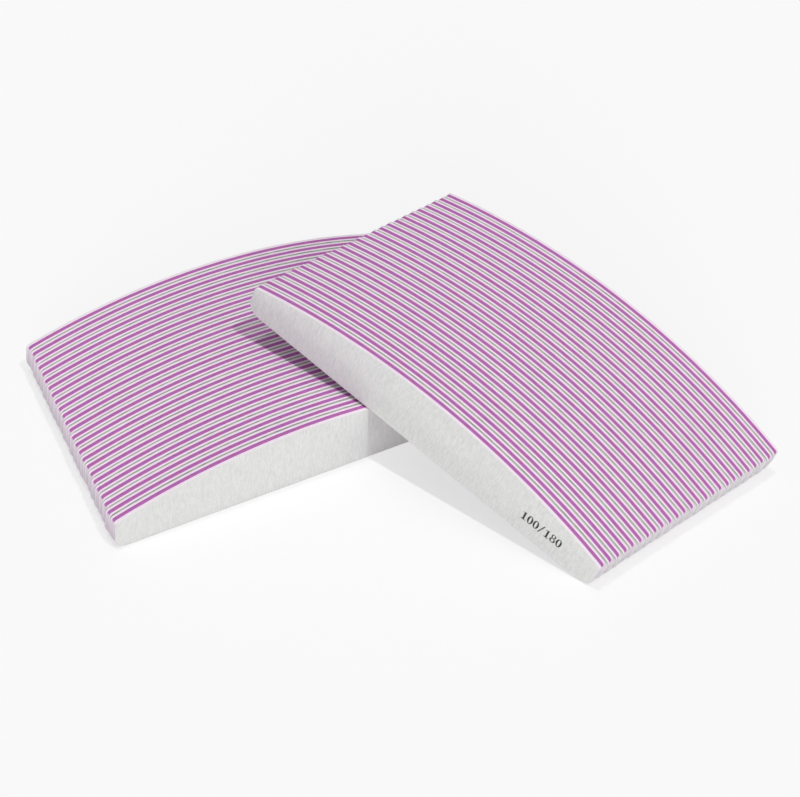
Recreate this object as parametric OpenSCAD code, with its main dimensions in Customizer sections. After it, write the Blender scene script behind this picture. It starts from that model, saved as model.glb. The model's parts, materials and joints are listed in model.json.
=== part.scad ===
// A pack of half-moon emery boards: one stack lies on its straight edges, and a second
// stack leans on it, crosswise. Every board is a sandwich of five glued layers. From front
// to back they are abrasive paper, white foam, coloured core, white foam, abrasive paper.
//
// X runs along the lying stack, Y runs front to back through it, and Z is up.
// The origin is the middle of the lying stack's base. Lengths are in millimetres.

/* [Board outline] */
// Length of a board, end to end
board_len = 178; // [120:1:230]
// Height of the arched edge above the straight edge, at the middle
crown_h = 28; // [20:0.5:36]
// Height of the arched edge at the two ends, before their corners are rounded
end_h = 13.8; // [9:0.1:16]
// Radius of the two corners on the straight edge
foot_r = 6.2; // [1:0.1:8]
// Radius of the two corners on the arched edge
top_r = 2; // [0.5:0.1:4]

/* [Board layers] */
// Thickness of the coloured core
core_t = 1.6; // [0.8:0.05:3]
// Thickness of each foam layer
foam_t = 0.7; // [0.4:0.05:2]
// Thickness of each abrasive paper, with its grit
paper_t = 0.55; // [0.2:0.05:1]
// Thickness of the glue line between two layers
glue_t = 0.05; // [0.02:0.01:0.1]

/* [Stacks] */
// Number of boards in each stack
boards = 25; // [3:1:25]
// Air between a board and the next one
board_gap = 0.1; // [0.05:0.01:0.3]
// How much further along each board lies than the board in front of it
stagger = 0.8; // [0:0.05:1]

/* [Leaning stack] */
// Angle between the two stacks, seen from above
turn = 69.3; // [60:0.5:85]
// How far its lower end stands in front of the lying stack's front face
foot_out = 102.5; // [85:0.1:130]
// How far its lower end stands to the right of the front board's middle
foot_right = 63.6; // [45:0.1:85]
// Clearance where it bears on the lying stack
seat_gap = 0.2; // [0.1:0.05:0.5]

/* [Hidden] */
$fn = 96;
// Sides of the long arc's full circle, in the preview
arch_sides = 360;

// Every board of the leaning stack has two nodes, and its front board, which shows its
// face, has one for each layer.

// The printed number of board i, counted from the front board as 01.
function number(i) = str(i + 1 < 10 ? "0" : "", i + 1);
function core_name(i) = str("leaning_board_", number(i), "_core");
function facings_name(i) = str("leaning_board_", number(i), "_facings");

// A board's layers, as distances of their front faces from the board's front face.
board_t = core_t + 2 * foam_t + 2 * paper_t + 4 * glue_t;
front_foam_y = paper_t + glue_t;
core_y = front_foam_y + foam_t + glue_t;
back_foam_y = core_y + core_t + glue_t;
back_paper_y = back_foam_y + foam_t + glue_t;

pitch = board_t + board_gap;
stack_t = boards * pitch - board_gap;

// The arched edge is one arc through the crown and the two ends.
half_len = board_len / 2;
crown_rise = crown_h - end_h;
crown_r = (half_len * half_len + crown_rise * crown_rise) / (2 * crown_rise);
crown_z = crown_h - crown_r;

// Centre of the small corner arc, which touches the end and the arched edge.
corner_x = half_len - top_r;
corner_z = crown_z + sqrt(pow(crown_r - top_r, 2) - pow(corner_x, 2));
corner_angle = asin(corner_x / (crown_r - top_r));

// The lying stack is centred on the origin.
lying_x = -stagger * (boards - 1) / 2;
lying_y = -stack_t / 2;

// The leaning stack's own frame has its origin at the lower end of the front board, on the
// straight edge. Its X runs down the slope and its Y through the stack.
foot_x = lying_x + foot_right;
foot_y = lying_y - foot_out;

// Tilt of the leaning boards out of the upright, towards the front, when the stack leans by
// lean. Each board lies further down the slope than the one in front of it, and with this
// tilt they all stand on the ground.
function tilt(lean) = asin(tan(lean) * stagger / pitch);

// Height of the origin at which the front board's rounded foot corner just stands on the
// ground.
function foot_z(lean) = foot_r * (norm([sin(lean), cos(lean) * cos(tilt(lean))])
    - sin(lean) - cos(lean) * cos(tilt(lean)));

// Upward direction of the leaning boards, along which each can be lifted out.
function lift_axis(lean) = let (tilt = tilt(lean)) [
    cos(tilt) * sin(lean) * cos(turn) - sin(tilt) * sin(turn),
    -cos(tilt) * sin(lean) * sin(turn) - sin(tilt) * cos(turn),
    cos(tilt) * cos(lean)];

// Height of the leaning stack's underside over the point x, y.
function underside(lean, x, y) = let (n = lift_axis(lean))
    foot_z(lean) - (n.x * (x - foot_x) + n.y * (y - foot_y)) / n.z;

// The underside comes nearest to the lying stack at the front board's arched edge, where
// the arch has the underside's slope, or at the leaning stack's front face if that is
// further to the right.
function seat_x(lean) = let (n = lift_axis(lean))
    max(lying_x + crown_r * n.x / norm([n.x, n.z]),
        foot_x - (lying_y - foot_y) / tan(turn));
function arch(x) = crown_z + sqrt(pow(crown_r, 2) - pow(x - lying_x, 2));
function air(lean) = lift_axis(lean).z
    * (underside(lean, seat_x(lean), lying_y) - arch(seat_x(lean)));

// The lean is found by halving the range of angles that holds it.
function find_lean(low, high, steps) = let (middle = (low + high) / 2)
    steps == 0 ? middle
    : air(middle) > seat_gap ? find_lean(low, middle, steps - 1)
    : find_lean(middle, high, steps - 1);
lean = find_lean(1, 40, 30);

echo(lean = lean, lift_axis = lift_axis(lean), seat_air = air(lean), board_t = board_t);

module place_leaning() {
    translate([foot_x, foot_y, foot_z(lean)]) rotate([tilt(lean), lean, -turn]) children();
}

// The square corner that is cut away outside a foot corner's arc.
module foot_cut() {
    difference() {
        translate([half_len - foot_r, -foot_r]) square([2 * foot_r, 2 * foot_r]);
        translate([half_len - foot_r, foot_r]) circle(r = foot_r);
    }
}

// The pointed corner that is cut away outside a top corner's arc. It starts on the lines
// from the arc's centre to the two points where the arc begins and ends.
module top_cut() {
    reach = 3 * top_r;
    difference() {
        translate([corner_x, corner_z]) polygon([
            [0, 0], [reach, 0], [reach, reach],
            [reach * sin(corner_angle), reach * cos(corner_angle)]]);
        translate([corner_x, corner_z]) circle(r = top_r);
    }
}

// The half-moon outline, with the straight edge on the X axis.
module outline() {
    difference() {
        intersection() {
            translate([0, crown_z]) circle(r = crown_r, $fn = arch_sides);
            translate([-half_len, 0]) square([board_len, 2 * crown_h]);
        }
        for (side = [0, 1]) mirror([side, 0]) {
            foot_cut();
            top_cut();
        }
    }
}

// One layer of a board, with its front face at depth y.
module layer(y, t) {
    translate([0, y + t, 0]) rotate([90, 0, 0]) linear_extrude(t) outline();
}

module core() {
    color("mediumvioletred") layer(core_y, core_t);
}

module front_foam() {
    color("ghostwhite") layer(front_foam_y, foam_t);
}

module back_foam() {
    color("ghostwhite") layer(back_foam_y, foam_t);
}

module front_paper() {
    color("lightgray") layer(0, paper_t);
}

module back_paper() {
    color("lightgray") layer(back_paper_y, paper_t);
}

module facings() {
    front_paper();
    front_foam();
    back_foam();
    back_paper();
}

// The same layer of every board in the lying stack.
module lying() {
    for (i = [0:boards - 1])
        translate([lying_x + i * stagger, lying_y + i * pitch, 0]) children();
}

// One layer of board i in the leaning stack.
module leaning(i) {
    place_leaning() translate([i * stagger - half_len, i * pitch, 0]) children();
}

lying() core();  // lying_cores
lying() front_foam();  // lying_front_foams
lying() back_foam();  // lying_back_foams
lying() front_paper();  // lying_front_papers
lying() back_paper();  // lying_back_papers
leaning(0) core();  // leaning_board_01_core
leaning(0) front_foam();  // leaning_board_01_front_foam
leaning(0) back_foam();  // leaning_board_01_back_foam
leaning(0) front_paper();  // leaning_board_01_front_paper
leaning(0) back_paper();  // leaning_board_01_back_paper
for (i = [1:boards - 1]) {
    leaning(i) core();
    leaning(i) facings();
}
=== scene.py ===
"""Two stacks of half-moon emery boards, one lying and one leaning across it."""

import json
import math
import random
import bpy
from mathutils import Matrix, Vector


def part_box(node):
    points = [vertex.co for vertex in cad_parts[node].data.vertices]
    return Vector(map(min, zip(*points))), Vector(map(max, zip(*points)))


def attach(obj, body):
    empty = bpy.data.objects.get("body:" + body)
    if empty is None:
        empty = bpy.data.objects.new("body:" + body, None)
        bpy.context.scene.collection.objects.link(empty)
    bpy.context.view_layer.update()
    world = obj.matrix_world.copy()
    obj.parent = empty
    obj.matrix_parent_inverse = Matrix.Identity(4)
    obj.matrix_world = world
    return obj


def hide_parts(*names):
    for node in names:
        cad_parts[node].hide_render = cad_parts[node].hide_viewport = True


bl_info = {
    "name": "Emery board stacks",
    "version": (1, 0, 0),
    "blender": (4, 5, 0),
    "location": "3D View > Sidebar > Emery boards",
    "description": "Layered half-moon emery boards in two stacks, with a plain stage",
    "category": "Object",
}

import bpy
from mathutils import Matrix, Vector

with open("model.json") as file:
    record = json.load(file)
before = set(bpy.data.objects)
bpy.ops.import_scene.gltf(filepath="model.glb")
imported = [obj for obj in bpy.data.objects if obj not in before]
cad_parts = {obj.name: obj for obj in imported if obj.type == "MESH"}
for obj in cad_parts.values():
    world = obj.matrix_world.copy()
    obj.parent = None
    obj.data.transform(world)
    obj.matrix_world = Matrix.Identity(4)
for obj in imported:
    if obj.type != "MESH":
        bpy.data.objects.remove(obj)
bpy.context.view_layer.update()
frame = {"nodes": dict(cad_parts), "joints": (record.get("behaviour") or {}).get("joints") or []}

MM = 0.001

# Names of the layers, from a board's front to its back.
LAYERS = ("front_paper", "front_foam", "core", "back_foam", "back_paper")
LYING_BODY = "lying_stack"


# Boards, as the frame holds them

# Points that are nearer than this along a direction belong to the same face.
SAME_LEVEL = 0.005 * MM
# How far outside its span a core's points are looked for. The next core is further away.
CORE_MARGIN = 1 * MM


def placement(origin, x_axis, y_axis, z_axis):
    """The matrix that carries a thing's own axes to their places in the frame."""
    turned = Matrix((x_axis, y_axis, z_axis)).transposed().to_4x4()
    return Matrix.Translation(origin) @ turned


class Board:
    """One board. Its origin is the middle of its straight edge, at the front face."""

    def __init__(self, body, number, along, depth, up, origin, spans):
        self.body = body
        self.number = number
        self.matrix = placement(origin, along, depth, up)
        front = spans[0][0]
        self.layers = {name: (low - front, high - front)
                       for name, (low, high) in zip(LAYERS, spans)}


def corner_points(node):
    return [v.co for v in frame["nodes"][node].data.vertices]


def thickness_direction(node):
    """Direction through the board, square to the node's largest triangle."""
    largest = max(frame["nodes"][node].data.polygons, key=lambda face: face.area)
    return largest.normal.normalized()


def solid_spans(nodes, direction):
    """Lowest and highest place of each solid along a direction, if they don't overlap there."""
    places = sorted(p.dot(direction) for node in nodes for p in corner_points(node))
    levels = [places[0]]
    for place in places:
        if place - levels[-1] > SAME_LEVEL:
            levels.append(place)
    return list(zip(levels[::2], levels[1::2]))


def read_lying_boards():
    along = Vector((1, 0, 0))
    depth = Vector((0, 1, 0))
    up = Vector((0, 0, 1))
    layer_spans = [solid_spans([f"lying_{name}s"], depth) for name in LAYERS]
    cores = corner_points("lying_cores")
    boards = []
    for number, spans in enumerate(zip(*layer_spans), start=1):
        low, high = spans[LAYERS.index("core")]
        core = [p for p in cores if low - CORE_MARGIN < p.y < high + CORE_MARGIN]
        middle = (min(p.x for p in core) + max(p.x for p in core)) / 2
        front = spans[0][0]
        origin = Vector((middle, front, min(p.z for p in core)))
        boards.append(Board(LYING_BODY, number, along, depth, up, origin, spans))
    return boards


def read_leaning_boards():
    boards = []
    for number, joint in enumerate(frame["joints"], start=1):
        body = joint["child"]
        nodes = [n for n in frame["nodes"] if n.startswith(body)]
        up = Vector(joint["axis"]).normalized()
        depth = thickness_direction(f"{body}_core")
        depth = depth if depth.y > 0 else -depth
        along = depth.cross(up).normalized()
        depth = up.cross(along)
        spans = solid_spans(nodes, depth)
        core = corner_points(f"{body}_core")
        ends = [p.dot(along) for p in core]
        middle = along * (min(ends) + max(ends)) / 2
        front = depth * spans[0][0]
        foot = up * min(p.dot(up) for p in core)
        boards.append(Board(body, number, along, depth, up, middle + front + foot, spans))
    return boards


LYING = read_lying_boards()
LEANING = read_leaning_boards()
CORE_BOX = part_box("lying_cores")
STAGGER = LYING[-1].matrix.translation.x - LYING[0].matrix.translation.x
BOARD_LEN = CORE_BOX[1].x - CORE_BOX[0].x - STAGGER
CROWN_H = CORE_BOX[1].z - CORE_BOX[0].z


# Sizes and colours that a user may change

# The curve of a screen: a straight piece up to its toe, and then a power curve.
SCREEN_MOST = 255
SCREEN_TOE = 0.04045
SCREEN_TOE_SLOPE = 12.92
SCREEN_OFFSET = 0.055
SCREEN_POWER = 2.4


def length(name, description, default):
    return bpy.props.FloatProperty(
        name=name, description=description, default=default, min=0.0, precision=5,
        subtype="DISTANCE", unit="LENGTH")


def colour(name, description, default):
    return bpy.props.FloatVectorProperty(
        name=name, description=description, default=default, size=3, min=0.0, max=1.0,
        subtype="COLOR")


def linear(value):
    value /= SCREEN_MOST
    if value <= SCREEN_TOE:
        return value / SCREEN_TOE_SLOPE
    return ((value + SCREEN_OFFSET) / (1 + SCREEN_OFFSET)) ** SCREEN_POWER


def srgb(red, green, blue):
    """A colour as it looks on screen, from 0 to 255, in the linear values that shaders use."""
    return tuple(linear(value) for value in (red, green, blue))


class EmeryBoardSizes(bpy.types.PropertyGroup):
    board_len: length("Board length", "Length of a board, end to end", BOARD_LEN)
    crown_h: length("Crown height", "Height of the arched edge at the middle", CROWN_H)
    end_h: length("End height", "Height of the arched edge at the two ends", 13.8 * MM)
    foot_r: length("Straight edge corner", "Radius of the corners on the straight edge", 6.2 * MM)
    top_r: length("Arched edge corner", "Radius of the corners on the arched edge", 2 * MM)
    cut_round: length("Cut edge rounding", "How far the die cut rounds a layer's rim", 0.05 * MM)
    outer_round: length(
        "Outer edge rounding", "How far it rounds the outer edge of the paper", 0.13 * MM)
    foam_bulge: length(
        "Foam bulge", "How far the foam's rim stands out between its two sides", 0.05 * MM)
    cut_wander: length(
        "Cut wander", "How far a layer's rim wanders from the outline", 0.1 * MM)
    board_drift: length(
        "Board drift", "How far a board lies from its even place in the stack", 0.25 * MM)
    digit_h: length("Digit height", "Height of the printed numbers", 4.6 * MM)
    print_along: length(
        "Print place along", "Middle of the printed numbers, from the board's middle", 61.4 * MM)
    print_up: length(
        "Print place up", "Middle of the printed numbers, above the straight edge", 9.8 * MM)


class EmeryBoardColours(bpy.types.PropertyGroup):
    core: colour("Core", "Coloured plastic core", srgb(192, 105, 186))
    core_end: colour(
        "Core at the ends", "The core's paler cut at the board's ends", srgb(228, 214, 229))
    foam: colour("Foam", "White foam pads", srgb(249, 233, 247))
    paper_face: colour("Paper face", "Grit side of the abrasive paper", srgb(228, 228, 227))
    paper_rim: colour(
        "Paper rim", "Cut edge of the abrasive paper, on its grit side", srgb(156, 161, 153))
    paper_back: colour(
        "Paper backing", "Cut edge of the abrasive paper, on its foam side", srgb(242, 231, 240))
    paper_end: colour(
        "Paper rim at the ends", "The paper's paler cut at the board's ends", srgb(214, 212, 215))
    ink: colour("Ink", "Printed numbers", srgb(46, 48, 48))
    ink_worn: colour("Worn ink", "Printed numbers where the grit shows through",
                     srgb(150, 151, 150))
    floor: colour("Floor", "Pale floor", srgb(249, 249, 249))


# Shader maths


class Socket:
    """A shader value. The usual operators on it add Math nodes."""

    def __init__(self, shader, link):
        self.shader = shader
        self.link = link

    def _math(self, operation, other):
        return self.shader.node("Math", {"operation": operation}, self, other)

    def __add__(self, other):
        return self._math("ADD", other)

    def __mul__(self, other):
        return self._math("MULTIPLY", other)

    __radd__ = __add__
    __rmul__ = __mul__


class Shader:
    """A new material's nodes, with one Principled shader."""

    def __init__(self, name, **constants):
        self.material = bpy.data.materials.new(name)
        self.material.use_nodes = True
        self.tree = self.material.node_tree
        self.principled = self.tree.nodes["Principled BSDF"]
        self.finish(**constants)

    def node(self, kind, settings, *values, output=None, **named):
        """Adds a node of a type, sets its settings and then its sockets, and returns an output."""
        node = self.tree.nodes.new("ShaderNode" + kind)
        for key, value in settings.items():
            if key == "stops":
                self._set_stops(node.color_ramp, value)
            else:
                setattr(node, key, value)
        inputs = [s for s in node.inputs if s.enabled]
        for socket, value in zip(inputs, values):
            self._feed(socket, value)
        for key, value in named.items():
            self._feed(self._called(inputs, key), value)
        outputs = [s for s in node.outputs if s.enabled]
        return Socket(self, self._called(outputs, output) if output else outputs[0])

    def _called(self, sockets, key):
        """The first socket with a name, in which _ stands for a space."""
        return next(s for s in sockets if s.name == key.replace("_", " "))

    def _set_stops(self, ramp, stops):
        while len(ramp.elements) < len(stops):
            ramp.elements.new(1.0)
        for element, (place, value) in zip(ramp.elements, stops):
            element.position = place
            element.color = (value, value, value, 1)

    def _feed(self, socket, value):
        if isinstance(value, Socket):
            self.tree.links.new(value.link, socket)
        elif socket.type == "RGBA" and len(value) == 3:
            socket.default_value = (*value, 1)
        else:
            socket.default_value = value

    def attribute(self, name):
        return self.node("Attribute", {"attribute_name": name}, output="Fac")

    def place(self):
        return self.node("Attribute", {"attribute_name": "place"}, output="Vector")

    def scaled(self, place, per_mm):
        return self.node("VectorMath", {"operation": "MULTIPLY"}, place, per_mm)

    def noise(self, place, per_mm, detail=2.0, roughness=0.5, distortion=0.0):
        """Noise with so many waves in a millimetre along, through and up a board."""
        return self.node("TexNoise", {}, Vector=self.scaled(place, per_mm), Scale=1.0,
                         Detail=detail, Roughness=roughness, Distortion=distortion)

    def ramp(self, value, *stops):
        """Black to white, from stops of place and brightness."""
        return self.node("ValToRGB", {"stops": stops}, value)

    def rise(self, value, low, high):
        """0 up to a low value, 1 from a high one, and a slope between them."""
        return self.ramp(value, (low, 0), (high, 1))

    def patches(self, place, per_mm, low, high, detail=2.0):
        """Soft patches of noise, from 0 to 1."""
        return self.rise(self.noise(place, per_mm, detail), low, high)

    def between(self, pattern, low, high):
        """A number that goes from low to high with a pattern."""
        return low + pattern * (high - low)

    def mix(self, factor, first, second, blend="MIX"):
        settings = {"data_type": "RGBA", "blend_type": blend}
        return self.node("Mix", settings, Factor=factor, A=first, B=second)

    def bump(self, height, strength, distance):
        return self.node("Bump", {}, Strength=strength, Distance=distance, Height=height)

    def finish(self, **values):
        """Feeds values or links to the Principled shader, and returns the material."""
        for socket, value in values.items():
            self._feed(self._called(self.principled.inputs, socket), value)
        return self.material


# Finishes
# Every board piece carries four values for its materials: place, its own coordinates in
# millimetres, moved on for each board so that no two boards look alike; rim, which is 1 on
# the cut edge; end, which grows from 0 to 1 round the corner to the board's end; and across,
# which grows from 0 at a paper's foam side to 1 where it lies against the next board.

# Painted shade on the cut edge near the straight edge: how high it reaches, how it thins out, how
# strong and how dark it is.
FOOT_SHADE_REACH_MM = 12
FOOT_SHADE_STOPS = ((0, 1), (0.3, 0.7), (1, 0))
FOOT_SHADE_SHARE = 0.7
FOOT_SHADE_TINT = (0.48, 0.47, 0.48)

# The core's warm and cool tints, and what share mottle and fleck have in them.
CORE_WARM = (1.08, 1.05, 0.82)
CORE_COOL = (0.88, 1.0, 1.08)
MOTTLE_WARMTH = 0.6
FLECK_WARMTH = 0.4
# How strongly flecks and streaks show in the core, and how dark they are.
FLECK_SHARE = 0.55
FLECK_SHADE = 0.62
STREAK_SHARE = 0.3
STREAK_SHADE = 0.76

# How strongly soft patches show in the foam, and how dark they are.
FOAM_PATCH_SHARE = 0.6
FOAM_PATCH_SHADE = 0.9

# The paper's face: its brush strokes, its clouds and its specks of grit.
STROKE_SHADES = (0.8, 1.05)
CLOUD_SHARE = 0.35
CLOUD_SHADE = 0.92
SPECK_SHARE = 0.25
SPECK_SHADE = 1.08
# The paper's cut edge, where it is darkest and where it is lightest.
RIM_DARK = (0.7, 0.7, 0.7)
RIM_LIGHT = (1.28, 1.25, 1.22)

INK_WEAR_SHARE = 0.3


def tinted(base, amounts):
    return tuple(value * amount for value, amount in zip(base, amounts))


def shade(base, amount):
    return tuple(value * amount for value in base)


def painted_foot_shade(s, body):
    """A cut edge's colour with painted shade, darker over the last millimetres above the straight
    edge.
    """
    height = s.node("SeparateXYZ", {}, s.place(), output="Z")
    low_shade = s.ramp(height * (1 / FOOT_SHADE_REACH_MM), *FOOT_SHADE_STOPS)
    return s.mix(low_shade * FOOT_SHADE_SHARE, body, FOOT_SHADE_TINT, "MULTIPLY")


def core_material(name, colours):
    s = Shader(name, Specular_IOR_Level=0.35)
    place = s.place()
    core = colours.core
    mottle = s.patches(place, per_mm=(0.5, 0.5, 0.5), low=0.35, high=0.65, detail=3.0)
    streak = s.patches(place, per_mm=(0.12, 2.4, 0.12), low=0.3, high=0.7)
    fleck = s.patches(place, per_mm=(0.85, 1.3, 0.85), low=0.4, high=0.64, detail=3.0)
    warmth = mottle * MOTTLE_WARMTH + fleck * FLECK_WARMTH
    body = s.mix(warmth, tinted(core, CORE_COOL), tinted(core, CORE_WARM))
    body = s.mix(fleck * FLECK_SHARE, body, shade(core, FLECK_SHADE))
    body = s.mix(streak * STREAK_SHARE, body, shade(core, STREAK_SHADE))
    fading = s.rise(s.attribute("end"), low=0.5, high=0.78)
    # Painted shade: the core's cut edge gets darker towards the straight edge.
    body = painted_foot_shade(s, s.mix(fading, body, tuple(colours.core_end)))
    grain = s.noise(place, per_mm=(3.0, 3.0, 3.0), detail=3.0)
    return s.finish(Base_Color=body, Roughness=s.between(mottle, low=0.55, high=0.7),
                    Normal=s.bump(grain, strength=0.25, distance=0.1 * MM))


def foam_material(name, colours):
    s = Shader(name, Specular_IOR_Level=0.2)
    place = s.place()
    foam = tuple(colours.foam)
    cells = s.node("TexVoronoi", {"feature": "F1"}, Scale=1.0,
                   Vector=s.scaled(place, per_mm=(4.0, 4.0, 4.0)))
    soft = s.patches(place, per_mm=(0.3, 1.2, 0.3), low=0.3, high=0.7, detail=3.0)
    # Painted shade: the foam's edge gets darker towards the straight edge.
    body = painted_foot_shade(s, s.mix(soft * FOAM_PATCH_SHARE, foam, shade(foam, FOAM_PATCH_SHADE)))
    return s.finish(Base_Color=body, Roughness=s.between(soft, low=0.8, high=0.9),
                    Normal=s.bump(cells, strength=0.3, distance=0.1 * MM))


def paper_face(s, place, speck, colours):
    """The grit side: brushed strokes, wide clouds and fine specks."""
    strokes = s.noise(place, per_mm=(1.9, 0.9, 0.34), detail=3.0, roughness=0.6, distortion=0.9)
    clouds = s.patches(place, per_mm=(0.06, 0.06, 0.06), low=0.3, high=0.7)
    dark, light = (shade(colours.paper_face, amount) for amount in STROKE_SHADES)
    face = s.mix(s.rise(strokes, low=0.3, high=0.7), dark, light)
    face = s.mix(clouds * CLOUD_SHARE, face, shade(colours.paper_face, CLOUD_SHADE))
    return s.mix(speck * SPECK_SHARE, face, shade(colours.paper_face, SPECK_SHADE))


def paper_edge(s, place, colours):
    """The cut edge: pale backing, then dark grit, and paler all over at the board's ends."""
    patch = s.patches(place, per_mm=(0.22, 1.5, 0.3), low=0.38, high=0.58, detail=4.0)
    rim = colours.paper_rim
    grit_side = s.mix(patch, tinted(rim, RIM_DARK), tinted(rim, RIM_LIGHT))
    gritty = s.rise(s.attribute("across"), low=0.3, high=0.5)
    edge = s.mix(gritty, tuple(colours.paper_back), grit_side)
    pale = s.rise(s.attribute("end"), low=0.5, high=1.0)
    # Painted shade: the paper's cut edge gets darker towards the straight edge.
    return painted_foot_shade(s, s.mix(pale, edge, tuple(colours.paper_end)))


def paper_material(name, colours):
    s = Shader(name, Specular_IOR_Level=0.25)
    place = s.place()
    grit = s.noise(place, per_mm=(9.0, 9.0, 9.0), roughness=0.7)
    speck = s.rise(grit, low=0.35, high=0.7)
    face = paper_face(s, place, speck, colours)
    body = s.mix(s.attribute("rim"), face, paper_edge(s, place, colours))
    return s.finish(Base_Color=body, Roughness=s.between(speck, low=0.82, high=0.94),
                    Normal=s.bump(grit, strength=0.35, distance=0.12 * MM))


def ink_material(name, colours):
    s = Shader(name, Specular_IOR_Level=0.3)
    worn = s.patches(s.place(), per_mm=(7.0, 7.0, 7.0), low=0.5, high=0.75)
    body = s.mix(worn * INK_WEAR_SHARE, tuple(colours.ink), tuple(colours.ink_worn))
    return s.finish(Base_Color=body, Roughness=s.between(worn, low=0.65, high=0.85))


MAKERS = {
    "core": ("core plastic", core_material),
    "foam": ("foam pad", foam_material),
    "paper": ("abrasive paper", paper_material),
}


def materials():
    """The material of each kind of layer, which is made when it is first asked for."""
    colours = bpy.context.scene.emery_colours
    return {kind: bpy.data.materials.get(name) or maker(name, colours)
            for kind, (name, maker) in MAKERS.items()}


# Board layers in mesh code

# The least strength of a wave in a rim's wander, and how many times each wave goes round it.
WEAKEST_WAVE = 0.3
RIM_WAVES = range(2, 29, 3)
# Millimetres by which the patterns move on from board to board and from layer to layer.
BOARD_SHIFT_MM = 400
LAYER_SHIFT_MM = 37
# Added to the leaning boards' seeds, so that no two layers of the pack wander alike.
LEANING_SEEDS = 1000
# A rim's depth and inset, as shares of a cut's rounding or of the foam's thickness and bulge.
ROUND_PROFILE = ((0.0, 1.0), (0.3, 0.3), (1.0, 0.0))
FOAM_PROFILE = ((0.0, 1.0), (0.25, 0.25), (0.5, 0.0), (0.75, 0.25), (1.0, 1.0))
# How much smaller a board is cut than its outline, as a share of its drift.
DRIFT_TRIM = 0.3
# Rim faces have this many corners, and are shaded smooth up to this angle between them.
RIM_FACE_CORNERS = 4
SMOOTH_UP_TO = math.radians(40)
# The name of every board piece. Blender adds a number to it from the second piece on, and the
# name of a piece's mesh says which board and layers it holds.
PIECE_NAME = "across"


class Outline:
    """The half-moon outline, with its arcs' centres, so that it can be drawn inset."""

    CROWN_STEPS = 72
    TOP_STEPS = 5
    FOOT_STEPS = 8
    BASE_STEPS = 24

    def __init__(self, sizes):
        self.half_len = sizes.board_len / 2
        self.top_r = sizes.top_r
        self.foot_r = sizes.foot_r
        rise = sizes.crown_h - sizes.end_h
        self.crown_r = (self.half_len ** 2 + rise ** 2) / (2 * rise)
        self.crown_z = sizes.crown_h - self.crown_r
        self.corner_x = self.half_len - self.top_r
        reach = self.crown_r - self.top_r
        self.corner_z = self.crown_z + math.sqrt(reach ** 2 - self.corner_x ** 2)
        self.corner_angle = math.asin(self.corner_x / reach)

    def directions(self):
        """For each point: its arc's centre and radius, its outward direction, and end."""
        crown = []
        for step in range(1, self.CROWN_STEPS):
            angle = self.corner_angle * (2 * step / self.CROWN_STEPS - 1)
            crown.append((0.0, self.crown_z, self.crown_r, angle, 0.0))
        right = []
        for step in range(self.TOP_STEPS + 1):
            share = step / self.TOP_STEPS
            angle = self.corner_angle + share * (math.pi / 2 - self.corner_angle)
            right.append((self.corner_x, self.corner_z, self.top_r, angle, share))
        foot_x = self.half_len - self.foot_r
        for step in range(self.FOOT_STEPS + 1):
            share = step / self.FOOT_STEPS
            angle = math.pi / 2 * (1 + share)
            right.append((foot_x, self.foot_r, self.foot_r, angle, 1 - share))
        base = [(foot_x * (1 - 2 * step / self.BASE_STEPS), 0.0, 0.0, math.pi, 0.0)
                for step in range(1, self.BASE_STEPS)]
        left = [(-x, z, r, -angle, end) for x, z, r, angle, end in reversed(right)]
        return crown + right + base + left

    def ring(self, insets):
        """Points of the outline moved inward, one inset for each point."""
        points = []
        for (x, z, r, angle, _), inset in zip(self.directions(), insets):
            reach = r - inset
            points.append((x + reach * math.sin(angle), z + reach * math.cos(angle)))
        return points


def smooth_noise(seed, count):
    """A smooth closed curve of values from 0 to 1."""
    pick = random.Random(seed)
    turn = 2 * math.pi
    parts = [(k, pick.uniform(WEAKEST_WAVE, 1.0) / math.sqrt(k), pick.uniform(0, turn))
             for k in RIM_WAVES]
    most = sum(size for _, size, _ in parts)
    values = []
    for i in range(count):
        height = sum(size * math.sin(k * turn * i / count + phase) for k, size, phase in parts)
        values.append((1 + height / most) / 2)
    return values


def add_places(mesh, places):
    flat = [value for place in places for value in place]
    mesh.attributes.new("place", "FLOAT_VECTOR", "POINT").data.foreach_set("vector", flat)


def link_piece(name, mesh, material, body):
    """A piece with a material, on a body."""
    mesh.materials.append(material)
    piece = bpy.data.objects.new(name, mesh)
    bpy.context.scene.collection.objects.link(piece)
    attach(piece, body)
    return piece


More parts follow.
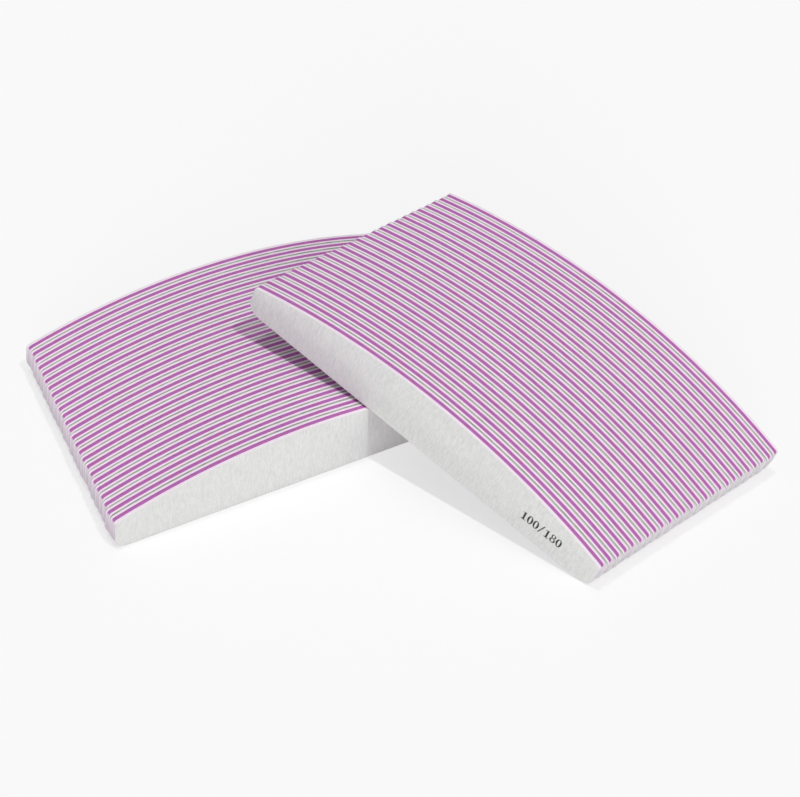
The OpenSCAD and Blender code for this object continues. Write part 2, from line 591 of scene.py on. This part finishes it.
class LayerMesh:
    """Collects layers of boards into one mesh object."""

    def __init__(self, outline):
        self.outline = outline
        self.points = []
        self.faces = []
        self.rims = []
        self.places = []
        self.ends = []
        self.across = []

    def add(self, board, drift, rings, seed, wander):
        """Adds one layer. Each ring is a depth, an inset and the value of across there."""
        directions = self.outline.directions()
        count = len(directions)
        noise = smooth_noise(seed, count)
        start = len(self.points)
        board_shift = BOARD_SHIFT_MM * board.number
        layer_shift = LAYER_SHIFT_MM * seed
        for depth, inset, across in rings:
            insets = [inset + wander * value for value in noise]
            for (x, z), (*_, end) in zip(self.outline.ring(insets), directions):
                self.points.append(board.matrix @ (Vector((x, depth, z)) + drift))
                self.places.append((x / MM + board_shift, depth / MM + layer_shift, z / MM))
                self.ends.append(end)
                self.across.append(across)
        last = start + (len(rings) - 1) * count
        for first in range(start, last, count):
            for i in range(count):
                j = (i + 1) % count
                self.faces.append((first + i, first + j, first + count + j, first + count + i))
                self.rims.append(1.0)
        self.faces.append(tuple(range(start + count - 1, start - 1, -1)))
        self.faces.append(tuple(range(last, last + count)))
        self.rims += [0.0, 0.0]

    def build(self, name, material, body, slot, nodes):
        mesh = bpy.data.meshes.new(name)
        mesh.from_pydata(self.points, [], self.faces)
        add_places(mesh, self.places)
        mesh.attributes.new("end", "FLOAT", "POINT").data.foreach_set("value", self.ends)
        mesh.attributes.new("across", "FLOAT", "POINT").data.foreach_set("value", self.across)
        mesh.attributes.new("rim", "FLOAT", "FACE").data.foreach_set("value", self.rims)
        for polygon in mesh.polygons:
            polygon.use_smooth = len(polygon.vertices) == RIM_FACE_CORNERS
        mesh.set_sharp_from_angle(angle=SMOOTH_UP_TO)
        piece = link_piece(PIECE_NAME, mesh, material, body)
        if nodes:
            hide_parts(*nodes)


def layer_rings(name, span, sizes):
    """Depth and inset of one layer's rings: a rounded cut, or the foam's soft bulge."""
    low, high = span
    if name.endswith("foam"):
        return [(low + depth * (high - low), sizes.foam_bulge * inset)
                for depth, inset in FOAM_PROFILE]
    front = sizes.outer_round if name == "front_paper" else sizes.cut_round
    back = sizes.outer_round if name == "back_paper" else sizes.cut_round
    front_rings = [(low + front * depth, front * inset) for depth, inset in ROUND_PROFILE]
    back_rings = [(high - back * depth, back * inset) for depth, inset in ROUND_PROFILE]
    return front_rings + back_rings[::-1]


def board_drift(board, sizes):
    """How far a board lies from its even place. No outer or leaning board drifts outward."""
    pick = random.Random(f"{board.body} {board.number}")
    low = -1
    high = 1
    if board in LEANING or board is LYING[-1]:
        high = 0
    elif board is LYING[0]:
        low = 0
    return Vector((pick.uniform(low, high) * sizes.board_drift, 0.0, 0.0))


def touching(board, name, depth):
    """Across in a paper: 0 at the foam, 1 at the next board, and 0 where there is none."""
    low, high = board.layers[name]
    share = (depth - low) / (high - low)
    stack = LEANING if board in LEANING else LYING
    if name == "front_paper" and board is not stack[0]:
        return 1 - share
    if name == "back_paper" and board is not stack[-1]:
        return share
    return 0.0


def add_layers(boards, kind, sizes, outline):
    """One mesh with the like layers of some boards: kind is core, foam or paper."""
    layers = LayerMesh(outline)
    for board in boards:
        drift = board_drift(board, sizes)
        trim = abs(drift.x) * DRIFT_TRIM
        first_seed = board.number * len(LAYERS) + (LEANING_SEEDS if board in LEANING else 0)
        for seed, name in enumerate(LAYERS, start=first_seed):
            if name.endswith(kind):
                rings = [(depth, inset + trim, touching(board, name, depth))
                         for depth, inset in layer_rings(name, board.layers[name], sizes)]
                layers.add(board, drift, rings, seed, sizes.cut_wander)
    return layers


# Printed numbers, drawn as flat shapes with a serif face

GRIT_NUMBERS = "100/180"
# Half the thickness of the ink, the middle of which lies on the paper.
INK_LIFT = 0.012 * MM
LOOP_STEPS = 28


def ellipse(x, z, half_w, half_h):
    points = []
    for step in range(LOOP_STEPS):
        angle = 2 * math.pi * step / LOOP_STEPS
        points.append((x + half_w * math.sin(angle), z + half_h * math.cos(angle)))
    return points


def loop(x, z, half_w, half_h, side, cap):
    """A closed stroke, thick at its sides and thin at its caps, as outer and inner ring."""
    return ellipse(x, z, half_w, half_h), ellipse(x, z, half_w - side, half_h - cap)


def bar(*corners):
    """A straight stroke, as outer ring and no inner one."""
    return corners, ()


# Each digit is 1 high, with its left side at 0, and stands this far from the next one.
DIGIT_STEP = 0.62
DIGIT_MIDDLE = 0.5
DIGITS = {
    "0": [loop(0.27, 0.5, 0.28, 0.5, 0.17, 0.07)],
    "1": [bar((0.18, 0.04), (0.18, 0.9), (0.36, 1.0), (0.36, 0.04)),
          bar((0.04, 0.0), (0.04, 0.08), (0.5, 0.08), (0.5, 0.0)),
          bar((0.04, 0.8), (0.04, 0.87), (0.18, 0.92), (0.18, 0.84))],
    "8": [loop(0.27, 0.76, 0.23, 0.24, 0.12, 0.06),
          loop(0.27, 0.28, 0.28, 0.28, 0.15, 0.07)],
    "/": [bar((0.0, -0.05), (0.38, 1.05), (0.49, 1.05), (0.11, -0.05))],
}


def in_line(ring, left, height):
    """A digit's ring at its full size, with the digit's left side at a place in the line."""
    return [((x + left) * height, (z - DIGIT_MIDDLE) * height) for x, z in ring]


def print_shapes(text, height):
    """Outer and inner rings of a line of digits, centred on 0, 0."""
    shapes = []
    for i, letter in enumerate(text):
        left = (i - len(text) / 2) * DIGIT_STEP
        for rings in DIGITS[letter]:
            shapes.append([in_line(ring, left, height) for ring in rings])
    return shapes


def add_print(board, text, sizes, material):
    """Thin ink on a board's front face."""
    origin = Vector((sizes.print_along, 0.0, sizes.print_up)) + board_drift(board, sizes)
    points = []
    faces = []
    places = []

    def put(ring, depth):
        start = len(points)
        for x, z in ring:
            points.append(board.matrix @ (origin + Vector((x, depth, z))))
            places.append((x / MM + BOARD_SHIFT_MM * board.number, 0.0, z / MM))
        return start

    for outer, inner in print_shapes(text, sizes.digit_h):
        count = len(outer)
        front = put(outer, -INK_LIFT)
        back = put(outer, INK_LIFT)
        walls = [(front, back)]
        if inner:
            hole_front = put(inner, -INK_LIFT)
            hole_back = put(inner, INK_LIFT)
            walls += [(hole_back, hole_front), (hole_front, front), (back, hole_back)]
        else:
            faces.append(tuple(range(front, front + count)))
            faces.append(tuple(range(back + count - 1, back - 1, -1)))
        for first, second in walls:
            for i in range(count):
                j = (i + 1) % count
                faces.append((first + i, second + i, second + j, first + j))
    name = f"{board.body}_numbers"
    mesh = bpy.data.meshes.new(name)
    mesh.from_pydata(points, [], faces)
    add_places(mesh, places)
    link_piece(name, mesh, material, board.body)


class EMERY_OT_lying_stack(bpy.types.Operator):
    """Builds the lying stack: its cores, foam pads and abrasive papers"""

    bl_idname = "emery.lying_stack"
    bl_label = "Lying stack"

    def execute(self, context):
        sizes = context.scene.emery_sizes
        outline = Outline(sizes)
        for kind, material in materials().items():
            nodes = [f"lying_{name}s" for name in LAYERS if name.endswith(kind)]
            layers = add_layers(LYING, kind, sizes, outline)
            layers.build(f"lying_{kind}_layers", material, LYING_BODY, kind, nodes)
        return {"FINISHED"}


class EMERY_OT_leaning_stack(bpy.types.Operator):
    """Builds the leaning stack, board by board"""

    bl_idname = "emery.leaning_stack"
    bl_label = "Leaning stack"

    def execute(self, context):
        sizes = context.scene.emery_sizes
        outline = Outline(sizes)
        for kind, material in materials().items():
            for board in LEANING:
                own = [n for n in frame["nodes"] if n.startswith(board.body)]
                nodes = [n for n in own if kind in n or (kind == "paper" and n.endswith("facings"))]
                layers = add_layers([board], kind, sizes, outline)
                layers.build(f"{board.body}_{kind}_layers", material, board.body, kind, nodes)
        return {"FINISHED"}


class EMERY_OT_numbers(bpy.types.Operator):
    """Prints plain grit numbers on the front faces"""

    bl_idname = "emery.numbers"
    bl_label = "Printed numbers"

    def execute(self, context):
        sizes = context.scene.emery_sizes
        material = ink_material("printing ink", context.scene.emery_colours)
        for board in LYING[:1] + LEANING:
            add_print(board, GRIT_NUMBERS, sizes, material)
        return {"FINISHED"}


# Stage: the floor, the lamps, the sky and the camera

FLOOR_HALF = 6.0
# How much of the floor shows to the camera as plain white. The rest is lit and holds the shadows.
FLOOR_WHITE_SHARE = 0.63
SKY_STRENGTH = 0.35

# The camera that was fitted to the photograph: its place and angles in the frame.
CAMERA_PLACE = Vector((-0.4201, -0.6085, 0.6225))
CAMERA_YAW = math.radians(39.16)
CAMERA_PITCH = math.radians(39.86)
CAMERA_ROLL = math.radians(8.03)
FOCAL_PX = 2315.4
IMAGE_W_PX = 800
SENSOR_MM = 36.0
NEAR_CLIP = 0.01
FAR_CLIP = 50.0


def link_to_scene(thing):
    bpy.context.scene.collection.objects.link(thing)


def sun(name, beam, share, soft):
    """A far lamp: its beam, its share of a floor's full light, and the angle that it fills."""
    beam = Vector(beam).normalized()
    light = bpy.data.lights.new(name, "SUN")
    light.energy = share * math.pi / -beam.z
    light.angle = math.radians(soft)
    lamp = bpy.data.objects.new(name, light)
    lamp.rotation_mode = "QUATERNION"
    lamp.rotation_quaternion = beam.to_track_quat("-Z", "Y")
    link_to_scene(lamp)


def floor_material(name, colours):
    s = Shader(name, Base_Color=tuple(colours.floor), Roughness=0.95, Specular_IOR_Level=0.0)
    lit = Socket(s, s.principled.outputs["BSDF"])
    white = s.node("Emission", {}, Color=(1, 1, 1), Strength=1.0)
    seen = s.node("LightPath", {}, output="Is_Camera_Ray")
    both = s.node("MixShader", {}, seen * FLOOR_WHITE_SHARE, lit, white)
    s.tree.links.new(both.link, s.tree.nodes["Material Output"].inputs["Surface"])
    return s.material


def make_floor(colours):
    corners = [(-1, -1), (1, -1), (1, 1), (-1, 1)]
    mesh = bpy.data.meshes.new("floor")
    mesh.from_pydata([(x * FLOOR_HALF, y * FLOOR_HALF, 0) for x, y in corners], [],
                     [(0, 1, 2, 3)])
    mesh.materials.append(floor_material("floor", colours))
    floor = bpy.data.objects.new("floor", mesh)
    link_to_scene(floor)


def make_world():
    world = bpy.data.worlds.new("studio")
    world.use_nodes = True
    background = world.node_tree.nodes["Background"]
    background.inputs["Color"].default_value = (1, 1, 1, 1)
    background.inputs["Strength"].default_value = SKY_STRENGTH
    bpy.context.scene.world = world


def make_camera():
    ahead = Vector((math.sin(CAMERA_YAW), math.cos(CAMERA_YAW), 0))
    look = ahead * math.cos(CAMERA_PITCH) - Vector((0, 0, math.sin(CAMERA_PITCH)))
    level = Vector((math.cos(CAMERA_YAW), -math.sin(CAMERA_YAW), 0))
    above = level.cross(look)
    right = level * math.cos(CAMERA_ROLL) + above * math.sin(CAMERA_ROLL)
    up = above * math.cos(CAMERA_ROLL) - level * math.sin(CAMERA_ROLL)
    data = bpy.data.cameras.new("camera")
    data.sensor_fit = "HORIZONTAL"
    data.sensor_width = SENSOR_MM
    data.lens = FOCAL_PX / IMAGE_W_PX * SENSOR_MM
    data.clip_start = NEAR_CLIP
    data.clip_end = FAR_CLIP
    camera = bpy.data.objects.new("camera", data)
    camera.matrix_world = placement(CAMERA_PLACE, right, up, -look)
    link_to_scene(camera)
    bpy.context.scene.camera = camera


class EMERY_OT_stage(bpy.types.Operator):
    """Makes the floor, the lamps and the camera"""

    bl_idname = "emery.stage"
    bl_label = "Stage"

    def execute(self, context):
        make_floor(context.scene.emery_colours)
        make_world()
        sun("key lamp", beam=(-0.051, 0.4, -0.892), share=0.27, soft=2)
        sun("top lamp", beam=(0.127, -0.078, -1.0), share=0.2, soft=2)
        sun("front lamp", beam=(0.75, 1.0, -0.33), share=0.085, soft=30)
        make_camera()
        context.scene.view_settings.view_transform = "Standard"
        return {"FINISHED"}


class EMERY_PT_panel(bpy.types.Panel):
    """Lists the sizes, the colours and the steps"""

    bl_label = "Emery boards"
    bl_idname = "EMERY_PT_panel"
    bl_space_type = "VIEW_3D"
    bl_region_type = "UI"
    bl_category = "Emery boards"

    def draw(self, context):
        for group in (context.scene.emery_sizes, context.scene.emery_colours):
            for name in group.__annotations__:
                self.layout.prop(group, name)
        for step in STEPS:
            self.layout.operator(step.bl_idname)


STEPS = (EMERY_OT_stage, EMERY_OT_lying_stack, EMERY_OT_leaning_stack, EMERY_OT_numbers)
CLASSES = (EmeryBoardSizes, EmeryBoardColours, *STEPS, EMERY_PT_panel)


def register():
    for cls in CLASSES:
        bpy.utils.register_class(cls)
    bpy.types.Scene.emery_sizes = bpy.props.PointerProperty(type=EmeryBoardSizes)
    bpy.types.Scene.emery_colours = bpy.props.PointerProperty(type=EmeryBoardColours)


def unregister():
    del bpy.types.Scene.emery_colours
    del bpy.types.Scene.emery_sizes
    for cls in reversed(CLASSES):
        bpy.utils.unregister_class(cls)


def main():
    register()
    bpy.ops.emery.stage()
    bpy.ops.emery.lying_stack()
    bpy.ops.emery.leaning_stack()
    bpy.ops.emery.numbers()


if __name__ == "__main__":
    main()
